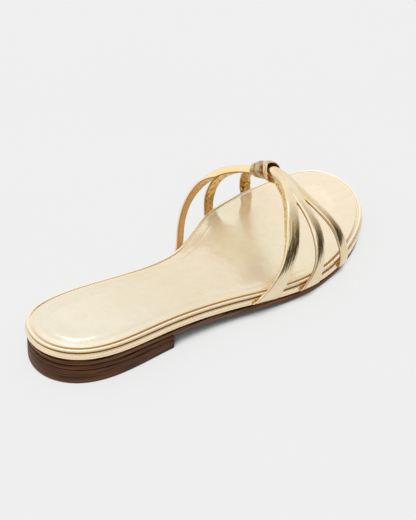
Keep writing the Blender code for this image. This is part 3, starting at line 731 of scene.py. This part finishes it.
def knot_mesh(sizes):
    """Points, faces, material numbers and leather run of the knot's three turns."""
    s, path, widths = bundle_path()

    def between(table, at):
        return np.array([np.interp(at, s, table[:, k]) for k in range(3)])

    turn = np.linspace(0, 2 * np.pi, KNOT_SIDES, endpoint=False)
    side, top = np.cos(turn), np.sin(turn)
    round_u, round_v = squarish(side, 2 / KNOT_SQUARE), squarish(top, 2 / KNOT_SQUARE)
    verts, faces, kinds, grain = [], [], [], []
    for number, profile in enumerate(KNOT_TURNS):
        loop = np.array(profile + profile[:1])
        rows = 4 * len(profile)
        fine = natural_curve(np.arange(len(loop)), loop)(
            np.linspace(0, len(profile), rows, endpoint=False))
        faces += ring_faces(rows, KNOT_SIDES, len(verts) * KNOT_SIDES, closed=True)
        # dull to bright: the share of the way round that takes the painted dark reflection
        (start, end), (dull, bright) = TURN_LINED[number], TURN_PAINTED_REFLECTION[number]
        for row, (along, wide, high, rise) in enumerate(fine):
            run = between(path, along + BUNDLE_NEAR) - between(path, along - BUNDLE_NEAR)
            run /= np.linalg.norm(run)
            across = between(widths, along)
            across -= run * across.dot(run)
            across /= np.linalg.norm(across)
            up = np.cross(across, run)
            at = between(path, along) + up * (rise + CORE_RISE)
            lip = LIP_SKEW[number] * np.clip((LIP_FROM - along) / LIP_RUN, 0, 1)
            lean = TURN_TILT[number] * top + (TURN_SKEW[number] + lip) * side
            gathers = sum(deep * np.cos(count * turn + shift * number + twist * along)
                          for deep, count, shift, twist in PLEATS)
            pleat = 1 - sizes.pleat / MM / PLEAT_SPAN * gathers
            verts.append(at + np.outer(round_u * wide * pleat, across)
                         + np.outer(round_v * high * pleat, up) + np.outer(lean, run))
            grain.append(np.column_stack([turn * TURN_GRAIN, np.full(KNOT_SIDES, row * ROW_GRAIN),
                                          np.full(KNOT_SIDES, KNOT_GRAIN + GRAIN_APART * number)]))
            share = row / rows
            lined = start <= share < end or share < end - 1
            kinds += [TURN_LINING if lined else TURN_REFLECTION_FOIL if dull <= share < bright
                      else TURN_FOIL] * KNOT_SIDES
    return np.vstack(verts), faces, kinds, np.vstack(grain)


# ---- materials ----------------------------------------------------------------------
def rgba(values):
    return (*values, 1.0)


def add_node(tree, kind, settings=None, links=None):
    """Adds a node and sets its properties, its ramp's stops as (place, colour or level) and
    its inputs, by name or number. links joins inputs to a socket or a node's first one."""
    made = tree.nodes.new("ShaderNode" + kind)
    for name, value in (settings or {}).items():
        if name == "stops":
            elements = made.color_ramp.elements
            while len(elements) < len(value):
                elements.new(0.5)
            for stop, (at, shade) in zip(elements, value):
                stop.position = at
                stop.color = rgba((shade,) * 3 if isinstance(shade, (int, float)) else shade)
        elif isinstance(name, str) and hasattr(made, name):
            setattr(made, name, value)
        else:
            made.inputs[name].default_value = value
    for name, source in (links or {}).items():
        socket = source.outputs[0] if isinstance(source, bpy.types.Node) else source
        tree.links.new(socket, made.inputs[name])
    return made


def new_material(name, run=False):
    """An empty material, the function that adds a node to it, and each point's place: in
    metres on the shoe or, with run, in mm along and across the leather."""
    made = bpy.data.materials.new(name)
    made.use_nodes = True
    made.node_tree.nodes.clear()
    node = partial(add_node, made.node_tree)
    if run:
        return made, node, node("Attribute", {"attribute_name": "leather_run"}).outputs["Vector"]
    return made, node, node("TexCoord").outputs["Object"]


def finish_material(made, settings, links):
    """Adds the surface shader and the output, and gives the finished material."""
    shader = add_node(made.node_tree, "BsdfPrincipled", settings, links)
    add_node(made.node_tree, "OutputMaterial", {}, {"Surface": shader})
    return made


def foil_leather(name, light, warm, roughness, crinkle, run=True, patch_mm=28.0, metallic=1.0):
    """Kid leather with a bonded metal foil: a bright soft mirror that shows the leather's
    grain and goes a little duller and warmer where it has stretched. With run, the grain
    follows the strap."""
    made, node, spot = new_material(name, run)
    unit, grain_mm, stretch, crinkle_mm = (1.0, 0.8, 0.16, 1.3) if run else (1 / MM, 0.9, 0.5, 9.0)
    patches = node("TexNoise", {"Scale": unit / patch_mm, "Detail": 3.0}, {"Vector": spot})
    blend = node("ValToRGB", {"stops": ((0.35, light), (0.75, warm))}, {"Fac": patches})
    dull = node("MapRange", {"To Min": roughness * 0.8, "To Max": roughness * 1.35},
                {"Value": patches})
    # pores and fine grain of the hide, drawn as coarse as the render can show
    grain = node("TexNoise", {"Scale": unit / grain_mm, "Detail": 4.0, "Roughness": 0.6},
                 {"Vector": spot})
    grain_bump = node("Bump", {"Strength": 0.10, "Distance": 0.1 * MM}, {"Height": grain})
    # long crinkles: stretched along a strap, or loose ones on the rim
    squeeze = node("Mapping", {"Scale": (stretch, 1.0, 1.0)}, {"Vector": spot})
    long_lines = node("TexNoise", {"Scale": unit / crinkle_mm, "Detail": 3.0, "Distortion": 0.4},
                      {"Vector": squeeze})
    crinkle_bump = node("Bump", {"Strength": crinkle, "Distance": 0.5 * MM},
                        {"Height": long_lines, "Normal": grain_bump})
    return finish_material(made, {"Metallic": metallic},
                           {"Base Color": blend, "Roughness": dull, "Normal": crinkle_bump})


def footbed_leather(name, colours):
    """Kid leather with a bonded cream foil over soft foam: a satin sheen whose tint changes
    from heel to toe, lightened under the ball as painted light, and gold painted as shade in the
    two lines pressed in near the edge."""
    made, node, spot = new_material(name)
    run = node("Attribute", {"attribute_name": "leather_run"})
    split = node("SeparateXYZ", {}, {"Vector": run.outputs["Vector"]})
    along_mm, inset_mm = split.outputs["X"], split.outputs["Y"]
    cloud = node("TexNoise", {"Scale": 1 / (24 * MM), "Detail": 6.0, "Roughness": 0.65},
                 {"Vector": spot})
    # the tint changes along the sole, by shares of 250 mm, with borders that wander a little;
    # the ball's stop is lightened as painted light against the shade under the straps
    along = node("Math", {"operation": "MULTIPLY", 1: 1 / 250}, {0: along_mm})
    wander = node("Math", {"operation": "MULTIPLY_ADD", 1: 0.30, 2: -0.15}, {0: cloud})
    stage = node("Math", {"operation": "ADD"}, {0: along, 1: wander})
    tint = node("ValToRGB",
                {"stops": ((0.12, colours.footbed), (0.36, colours.footbed_mid),
                           (0.54, colours.footbed_arch), (0.70, colours.footbed_ball_painted_light),
                           (0.84, colours.footbed_toe))},
                {"Fac": stage})
    # the foil lies a little unevenly over the hide
    fleck = node("TexNoise", {"Scale": 1 / (5 * MM), "Detail": 5.0, "Roughness": 0.7},
                 {"Vector": spot})
    uneven = node("ValToRGB", {"stops": ((0.32, linear("#FAF8F3")), (0.62, 1.0))},
                  {"Fac": fleck})
    tint = node("Mix", {"data_type": "RGBA", "blend_type": "MULTIPLY", "Factor": 0.8},
                {6: tint, 7: uneven})
    # painted shade: gold in the two pressed lines, placed by shares of 20 mm in, gone under the
    # ball
    inset = node("Math", {"operation": "MULTIPLY", 1: 1 / 20}, {0: inset_mm})
    lines = node("ValToRGB",
                 {"stops": ((0.215, 0.0), (0.243, 1.0), (0.272, 0.0),
                            (0.402, 0.0), (0.434, 0.8), (0.468, 0.0))},
                 {"Fac": inset})
    fade = node("MapRange", {"From Min": 140.0, "From Max": 200.0, "To Min": 0.30, "To Max": 0.0},
                {"Value": along_mm})
    share = node("Math", {"operation": "MULTIPLY"}, {0: lines, 1: fade})
    shade = node("Mix", {"data_type": "RGBA", 7: rgba(colours.pressed)},
                 {0: share, 6: tint.outputs[2]})
    # pores and fine grain of the hide, drawn as coarse as the render can show
    grain = node("TexNoise", {"Scale": 1 / (1.3 * MM), "Detail": 4.0, "Roughness": 0.6},
                 {"Vector": spot})
    grain_bump = node("Bump", {"Strength": 0.12, "Distance": 0.1 * MM}, {"Height": grain})
    soft = node("TexNoise", {"Scale": 1 / (13 * MM), "Detail": 3.0}, {"Vector": spot})
    soft_bump = node("Bump", {"Strength": 0.35, "Distance": 1.0 * MM},
                     {"Height": soft, "Normal": grain_bump})
    # burnished round the heel's edge, duller where the foot rests
    polish = node("ValToRGB", {"stops": ((0.26, 0.34), (0.42, 0.17), (0.58, 0.18), (0.85, 0.36))},
                  {"Fac": inset})
    front = node("MapRange",
                 {"interpolation_type": "SMOOTHSTEP", "From Min": 60.0, "From Max": 150.0},
                 {"Value": along_mm})
    dull = node("Mix", {"data_type": "FLOAT", 3: 0.25}, {0: front, 2: polish})
    # pulled taut, and so a clearer mirror, by the edge where the front bands stand
    taut = node("MapRange",
                {"interpolation_type": "SMOOTHSTEP", "From Min": 150.0, "From Max": 175.0},
                {"Value": along_mm})
    close = node("MapRange",
                 {"interpolation_type": "SMOOTHSTEP", "From Min": 14.0, "From Max": 26.0,
                  "To Min": 1.0, "To Max": 0.0}, {"Value": inset_mm})
    clear = node("Math", {"operation": "MULTIPLY"}, {0: taut, 1: close})
    dull = node("Mix", {"data_type": "FLOAT", 3: 0.10}, {0: clear, 2: dull})
    return finish_material(made, {"Metallic": 0.45},
                           {"Base Color": shade.outputs[2], "Roughness": dull,
                            "Normal": soft_bump})


def lining_leather(name, light, dark):
    """Bronze-coated split leather inside the straps: crackled, a dull broken glitter."""
    made, node, spot = new_material(name)
    crackle = node("TexVoronoi", {"Scale": 1 / (1.1 * MM)}, {"Vector": spot})
    cloud = node("TexNoise", {"Scale": 1 / (1.9 * MM), "Detail": 4.0}, {"Vector": spot})
    blend = node("ValToRGB", {"stops": ((0.38, dark), (0.53, light))}, {"Fac": cloud})
    bump = node("Bump", {"Strength": 0.6, "Distance": 0.25 * MM}, {"Height": crackle})
    return finish_material(made, {"Metallic": 0.6, "Roughness": 0.36},
                           {"Base Color": blend, "Normal": bump})


def smooth_lining(name, light, dark):
    """Bronze-coated calf lining, glazed smooth: a soft even gold, with painted light that makes it
    palest high up round the knot.
    """
    made, node, spot = new_material(name)
    cloud = node("TexNoise", {"Scale": 1 / (5 * MM), "Detail": 4.0}, {"Vector": spot})
    split = node("SeparateXYZ", {}, {"Vector": spot})
    # painted light: the lining is paler the higher it is, from 28 to 34 mm
    height = node("MapRange", {"From Min": 28 * MM, "From Max": 34 * MM},
                  {"Value": split.outputs["Z"]})
    cloud_and_painted_light = node("Math", {"operation": "MULTIPLY_ADD", 1: 0.35}, {0: cloud, 2: height})
    blend = node("ValToRGB", {"stops": ((0.15, dark), (1.0, light))}, {"Fac": cloud_and_painted_light})
    bump = node("Bump", {"Strength": 0.15, "Distance": 0.2 * MM}, {"Height": cloud})
    return finish_material(made, {"Metallic": 0.5, "Roughness": 0.38},
                           {"Base Color": blend, "Normal": bump})


def edge_ink(name, ink, foil=None):
    """Acrylic ink brushed on a cut leather edge: brown, satin, slightly lumpy. With foil
    given, it is ink with painted shade in a groove or seam, faded to the foil on the inner side and
    round the toe, so that the painted shade stays on the outer side, short of the toe."""
    made, node, spot = new_material(name)
    lumps = node("TexNoise", {"Scale": 1 / (0.8 * MM), "Detail": 2.0}, {"Vector": spot})
    bump = node("Bump", {"Strength": 0.2, "Distance": 0.1 * MM}, {"Height": lumps})
    # where the ink's painted shade gives way to the foil: on the inner side and round the toe
    rubbed = {}
    if foil:
        split = node("SeparateXYZ", {}, {"Vector": spot})
        inner = node("MapRange", {"From Min": -8 * MM, "From Max": 22 * MM},
                     {"Value": split.outputs["Y"]})
        toe = node("MapRange", {"From Min": 70 * MM, "From Max": 100 * MM},
                   {"Value": split.outputs["X"]})
        rubbed["Factor"] = node("Math", {"operation": "MAXIMUM"}, {0: inner, 1: toe})
    shade = node("Mix", {"data_type": "RGBA", "Factor": 0.0, 6: rgba(ink), 7: rgba(foil or ink)},
                 rubbed)
    return finish_material(made, {"Roughness": 0.4, "Metallic": 0.3},
                           {"Base Color": shade.outputs[2], "Normal": bump})


def moulded_rubber(name, light, dark):
    """Thermoplastic rubber, moulded and tinted brown: satin, with faint level streaks like
    stacked leather."""
    made, node, spot = new_material(name)
    level = node("Mapping", {"Scale": (0.03, 0.03, 1.0)}, {"Vector": spot})
    streaks = node("TexNoise", {"Scale": 1 / (0.7 * MM), "Detail": 4.0}, {"Vector": level})
    blend = node("ValToRGB", {"stops": ((0.38, dark), (0.66, light))}, {"Fac": streaks})
    grit = node("TexNoise", {"Scale": 1 / (0.9 * MM), "Detail": 3.0}, {"Vector": spot})
    rough = node("MapRange", {"To Min": 0.36, "To Max": 0.55}, {"Value": grit})
    bump = node("Bump", {"Strength": 0.25, "Distance": 0.15 * MM}, {"Height": grit})
    line_bump = node("Bump", {"Strength": 0.3, "Distance": 0.15 * MM},
                     {"Height": streaks, "Normal": bump})
    return finish_material(made, {"Specular IOR Level": 0.14},
                           {"Base Color": blend, "Roughness": rough, "Normal": line_bump})


def studio_sheet(name, tint):
    """White acrylic sheet that glows evenly: no cast shadow, only a painted shadow that dims
    its glow deep under the arch, where the sole covers it."""
    made, node, spot = new_material(name)
    haze = node("TexNoise", {"Scale": 1 / (120 * MM), "Detail": 2.0}, {"Vector": spot})
    glow = node("MapRange", {"To Min": 0.770, "To Max": 0.780}, {"Value": haze})
    # painted shadow: the glow is dimmed where ambient occlusion finds the sole close over the sheet
    open_sky = node("AmbientOcclusion", {"samples": 16, "Distance": 30 * MM})
    painted_arch_shadow = node("MapRange",
               {"interpolation_type": "SMOOTHSTEP", "From Min": 0.22, "From Max": 0.47,
                "To Min": 0.08, "To Max": 1.0}, {"Value": open_sky.outputs["AO"]})
    lit = node("Math", {"operation": "MULTIPLY"}, {0: glow, 1: painted_arch_shadow})
    return finish_material(made, {"Base Color": rgba(linear("#595959")), "Roughness": 0.8,
                                  "Specular IOR Level": 0.0, "Emission Color": rgba(tint)},
                           {"Emission Strength": lit})


def attach(obj, node):
    """The piece stands in for its solid, which is hidden, and rides with the shoe."""
    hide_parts(node)
    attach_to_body(obj, "root")


# ---- operators ----------------------------------------------------------------------
# Profiles of the sole's layers, each as (inset, rise) under and over, with how much their
# corners are rounded.
OUTSOLE = (((14, 0), (1.7, 0), (1.25, 0.7), (1.15, 1.6)), 0.4,
           ((1.05, -2.1), (0.95, -1.35), (1.9, -1.2), (1.9, -0.2), (2.2, 0), (14, 0)), 0.12)
HEEL_LIFT = (((4, 0), (1.3, 0), (1.1, 0.3), (1.1, 1.0)), 0.2,
             ((1.1, -1.0), (1.1, -0.3), (1.3, 0), (4, 0)), 0.2)
HEEL_BLOCK = (((4, 0), (1.9, 0), (1.35, 0.6), (1.2, 2.0)), 0.4,
              ((1.1, -1.5), (1.1, -0.3), (1.3, 0), (4, 0)), 0.2)
# The wrapped board, with the groove in its side, and its rows of faces that are inked: ink with
# painted shade on its lower edge, where the sole's shadow falls, and on the ledge under the bead.
BOARD_UNDER = ((14, 0), (0.75, 0), (0.35, 0.12), (0.1, 0.4), (0.0, 0.8), (0.0, 1.45))
BOARD_OVER = ((0.03, -2.0), (0.10, -1.88), (0.06, -1.76), (0.26, -0.6), (0.33, -0.28),
              (0.46, -0.06), (0.66, 0), (0.68, 0), (14, 0))
BOARD_INK_AND_SHADE_ROWS = (3, 4, 5, 15, 16)


class SANDAL_OT_sole(bpy.types.Operator):
    """Moulded outsole, heel lift and heel block"""
    bl_idname = "sandal.sole"
    bl_label = "Sole and heel"

    def execute(self, context):
        colours = context.scene.sandal_colours
        brown = moulded_rubber("moulded_rubber", colours.sole, colours.sole_dark)
        light = moulded_rubber("moulded_edge_rubber", colours.sole_edge, colours.sole_dark)
        whole, heel = full_ring(), heel_ring()
        for node, made, ring, (under, under_cut, over, over_cut), bottom, top in (
                ("outsole", light, whole, OUTSOLE, sole_under, sole_top),
                ("heel_lift", brown, heel, HEEL_LIFT, lift_under, lift_top),
                ("heel_block", brown, heel, HEEL_BLOCK, np.zeros_like, block_top)):
            layer = sole_layer(node + "_skin", [made], ring, rounded(under, under_cut),
                               rounded(over, over_cut), bottom, top)
            attach(layer, node)
        return {"FINISHED"}


class SANDAL_OT_board(bpy.types.Operator):
    """Foil strip wrapped round the lasting board"""
    bl_idname = "sandal.board"
    bl_label = "Wrapped board"

    def execute(self, context):
        colours = context.scene.sandal_colours
        foil = foil_leather("rim_foil_leather", colours.rim, colours.rim, 0.14, 0.10,
                            run=False, metallic=0.8)
        # ink with painted shade under the bead and along the board's lower edge
        ink = edge_ink("board_ink_and_painted_shade", colours.seam, colours.rim)
        layer = sole_layer("board_wrap", [foil, ink], full_ring(), BOARD_UNDER, BOARD_OVER,
                           rim_z, board_top, BOARD_INK_AND_SHADE_ROWS)
        attach(layer, "midsole")
        return {"FINISHED"}


class SANDAL_OT_footbed(bpy.types.Operator):
    """Padded footbed with a rolled bead and two pressed lines"""
    bl_idname = "sandal.footbed"
    bl_label = "Padded footbed"

    def execute(self, context):
        sizes, colours = context.scene.sandal_sizes, context.scene.sandal_colours
        foil = footbed_leather("footbed_foil_leather", colours)
        # ink with painted shade in the groove and on the bead's underside
        ink = edge_ink("groove_ink_and_painted_shade", colours.groove, colours.bead_foil)
        bright = foil_leather("bead_foil_leather", colours.bead_foil, colours.bead_foil, 0.18,
                              0.05, run=False, metallic=0.6)
        obj = put_mesh("footbed", [foil, ink, bright], *footbed_mesh(sizes))
        attach(obj, "insole")
        return {"FINISHED"}


class SANDAL_OT_straps(bpy.types.Operator):
    """Three strap bands a side, closed up into one panel under the knot"""
    bl_idname = "sandal.straps"
    bl_label = "Straps"

    def execute(self, context):
        sizes, colours = context.scene.sandal_sizes, context.scene.sandal_colours
        made = [
            foil_leather("strap_foil_leather", colours.strap, colours.strap_warm, 0.16, 0.45),
            lining_leather("crackled_lining", colours.lining, colours.lining_dark),
            edge_ink("edge_ink", colours.edge),
            smooth_lining("glazed_lining", colours.glazed, colours.glazed_gold),
            lining_leather("crackled_lining_front", colours.front_lining, colours.front_dark),
            # foil with a painted warm reflection, on the rear band's fold
            foil_leather("reflection_painted_strap_foil", colours.strap_painted_reflection, colours.strap_painted_reflection,
                         0.24, 0.3),
        ]
        attach(put_mesh("strap_bands", made, *strap_mesh(sizes)), "upper")
        return {"FINISHED"}


class SANDAL_OT_knot(bpy.types.Operator):
    """Wrapped knot over the instep"""
    bl_idname = "sandal.knot"
    bl_label = "Knot"

    def execute(self, context):
        sizes, colours = context.scene.sandal_sizes, context.scene.sandal_colours
        made = [
            foil_leather("knot_foil_leather", colours.knot, colours.knot_warm, 0.14, 0.6,
                         patch_mm=5.0),
            lining_leather("knot_lining", colours.knot_inside, colours.knot_dark),
            # grey foil with a painted dark reflection, on the flanks of the turns
            foil_leather("knot_reflection_painted_foil", colours.knot_painted_reflection, colours.strap_warm, 0.25,
                         0.45, patch_mm=4.0),
        ]
        attach(put_mesh("knot_wrap", made, *knot_mesh(sizes)), "knot")
        return {"FINISHED"}


# ---- stage, metres ------------------------------------------------------------------
# The camera's place and aim are given in the frame's axes.
CAMERA_SPOT = Vector((-0.7958, -0.7294, 0.7448))
CAMERA_LEVEL_AIM = Vector((0.6162, 0.6228, -0.4821))    # its way before it nods to the aim
CAMERA_AIM = Vector((0.0, 0.0, 0.018))
CAMERA_LENS = 160.0
FLOOR_RADIUS, FLOOR_SIDES = 8.0, 96
SOFTBOX_SPOT, SOFTBOX_SIZE, SOFTBOX_WATTS = Vector((0.598, 0.726, 1.294)), (0.23, 0.32), 0.66
# Stretches of the room that the foil mirrors: direction, the closeness to it (as a cosine)
# where the stretch starts and is full, the heights (as a sine) up to which it is full and
# has gone, how bright it is and its share of the wall's warm tint.
ROOM = (
    # unlit wall beyond the outer side
    ((0.54, -0.84, 0.0), (0.48, 0.86), (0.42, 0.74), 0.06, 1.0),
    # dim wall behind the camera
    ((-0.72, -0.69, 0.0), (0.42, 0.85), (0.45, 0.75), 0.42, 0.0),
    # grey card on the inner side
    ((-0.42, 0.91, 0.0), (0.55, 0.95), (0.20, 0.50), 0.60, 0.0),
    # dim corner over the toe
    ((0.820, -0.174, 0.545), (0.90, 0.98), (0.90, 1.00), 0.66, 0.35),
)
ROOM_LOW, ROOM_HIGH = 0.95, 1.10    # light of the rest, from below and from above
WALL_TINT = linear("#FFEAC5")       # light that comes off the unlit wall


def studio_room():
    """The world light: even all round, but for the stretches of ROOM."""
    world = bpy.data.worlds.new("studio")
    world.use_nodes = True
    world.node_tree.nodes.clear()
    node = partial(add_node, world.node_tree)
    ray = node("TexCoord").outputs["Generated"]
    rise = node("SeparateXYZ", {}, {"Vector": ray}).outputs["Z"]
    light = node("MapRange", {"To Min": ROOM_LOW, "To Max": ROOM_HIGH}, {"Value": rise})
    warm = None
    for way, (start, full), (even, gone), level, tinted in ROOM:
        towards = node("VectorMath", {"operation": "DOT_PRODUCT", 1: way}, {0: ray})
        near = node("MapRange",
                    {"interpolation_type": "SMOOTHSTEP", "From Min": start, "From Max": full},
                    {"Value": towards.outputs["Value"]})
        low = node("MapRange",
                   {"interpolation_type": "SMOOTHSTEP", "From Min": even, "From Max": gone,
                    "To Min": 1.0, "To Max": 0.0}, {"Value": rise})
        share = node("Math", {"operation": "MULTIPLY"}, {0: near, 1: low})
        warm = node("Math", {"operation": "MULTIPLY_ADD", 1: tinted, 2: 0.0},
                    {0: share} if warm is None else {0: share, 2: warm})
        dim = node("Math", {"operation": "MULTIPLY_ADD", 1: level - 1.0, 2: 1.0}, {0: share})
        light = node("Math", {"operation": "MULTIPLY"}, {0: light, 1: dim})
    hue = node("Mix", {"data_type": "RGBA", 6: (1.0, 1.0, 1.0, 1.0), 7: rgba(WALL_TINT)},
               {0: warm})
    lit = node("Background", {}, {"Strength": light, "Color": hue.outputs[2]})
    node("OutputWorld", {}, {"Surface": lit})
    return world


class SANDAL_OT_stage(bpy.types.Operator):
    """Pale floor, soft studio light and the camera"""
    bl_idname = "sandal.stage"
    bl_label = "Stage"

    def execute(self, context):
        scene = context.scene
        mesh = bpy.data.meshes.new("floor_sheet")
        rim = [(FLOOR_RADIUS * math.cos(a), FLOOR_RADIUS * math.sin(a), 0.0)
               for a in np.linspace(0, 2 * np.pi, FLOOR_SIDES, endpoint=False)]
        mesh.from_pydata(rim, [], [tuple(range(FLOOR_SIDES))])
        mesh.materials.append(studio_sheet("white_acrylic_sheet", scene.sandal_colours.floor))
        floor = bpy.data.objects.new("floor_sheet", mesh)
        scene.collection.objects.link(floor)

        scene.world = studio_room()
        lamp = bpy.data.lights.new("softbox", "AREA")
        lamp.shape, lamp.energy = "RECTANGLE", SOFTBOX_WATTS
        lamp.size, lamp.size_y = SOFTBOX_SIZE
        box = bpy.data.objects.new("softbox", lamp)
        box.location = SOFTBOX_SPOT
        box.rotation_euler = (-SOFTBOX_SPOT).to_track_quat("-Z", "Y").to_euler()
        scene.collection.objects.link(box)

        camera = bpy.data.objects.new("camera", bpy.data.cameras.new("camera"))
        camera.data.lens = CAMERA_LENS
        level = CAMERA_LEVEL_AIM.to_track_quat("-Z", "Y")
        nod = CAMERA_LEVEL_AIM.rotation_difference(CAMERA_AIM - CAMERA_SPOT)
        camera.matrix_world = Matrix.LocRotScale(CAMERA_SPOT, nod @ level, None)
        camera.data.clip_start, camera.data.clip_end = 0.05, 30.0
        scene.collection.objects.link(camera)
        scene.camera = camera
        scene.view_settings.view_transform = "Standard"
        scene.view_settings.look = "None"
        return {"FINISHED"}


OPERATORS = (SANDAL_OT_sole, SANDAL_OT_board, SANDAL_OT_footbed, SANDAL_OT_straps,
             SANDAL_OT_knot, SANDAL_OT_stage)


class SANDAL_PT_panel(bpy.types.Panel):
    """Sidebar panel with the pieces, sizes and colours"""
    bl_idname = "SANDAL_PT_panel"
    bl_label = "Foil slide sandal"
    bl_space_type = "VIEW_3D"
    bl_region_type = "UI"
    bl_category = "Sandal"

    def draw(self, context):
        for piece in OPERATORS:
            self.layout.operator(piece.bl_idname)
        for group in (context.scene.sandal_sizes, context.scene.sandal_colours):
            box = self.layout.box()
            for name in group.__annotations__:
                box.prop(group, name)


CLASSES = (SandalSizes, SandalColours, *OPERATORS, SANDAL_PT_panel)


def register():
    for each in CLASSES:
        bpy.utils.register_class(each)
    bpy.types.Scene.sandal_sizes = bpy.props.PointerProperty(type=SandalSizes)
    bpy.types.Scene.sandal_colours = bpy.props.PointerProperty(type=SandalColours)


def unregister():
    del bpy.types.Scene.sandal_colours, bpy.types.Scene.sandal_sizes
    for each in reversed(CLASSES):
        bpy.utils.unregister_class(each)


def main():
    """Builds every piece and the stage."""
    register()
    for piece in OPERATORS:
        group, name = piece.bl_idname.split(".")
        getattr(getattr(bpy.ops, group), name)()


if __name__ == "__main__":
    main()
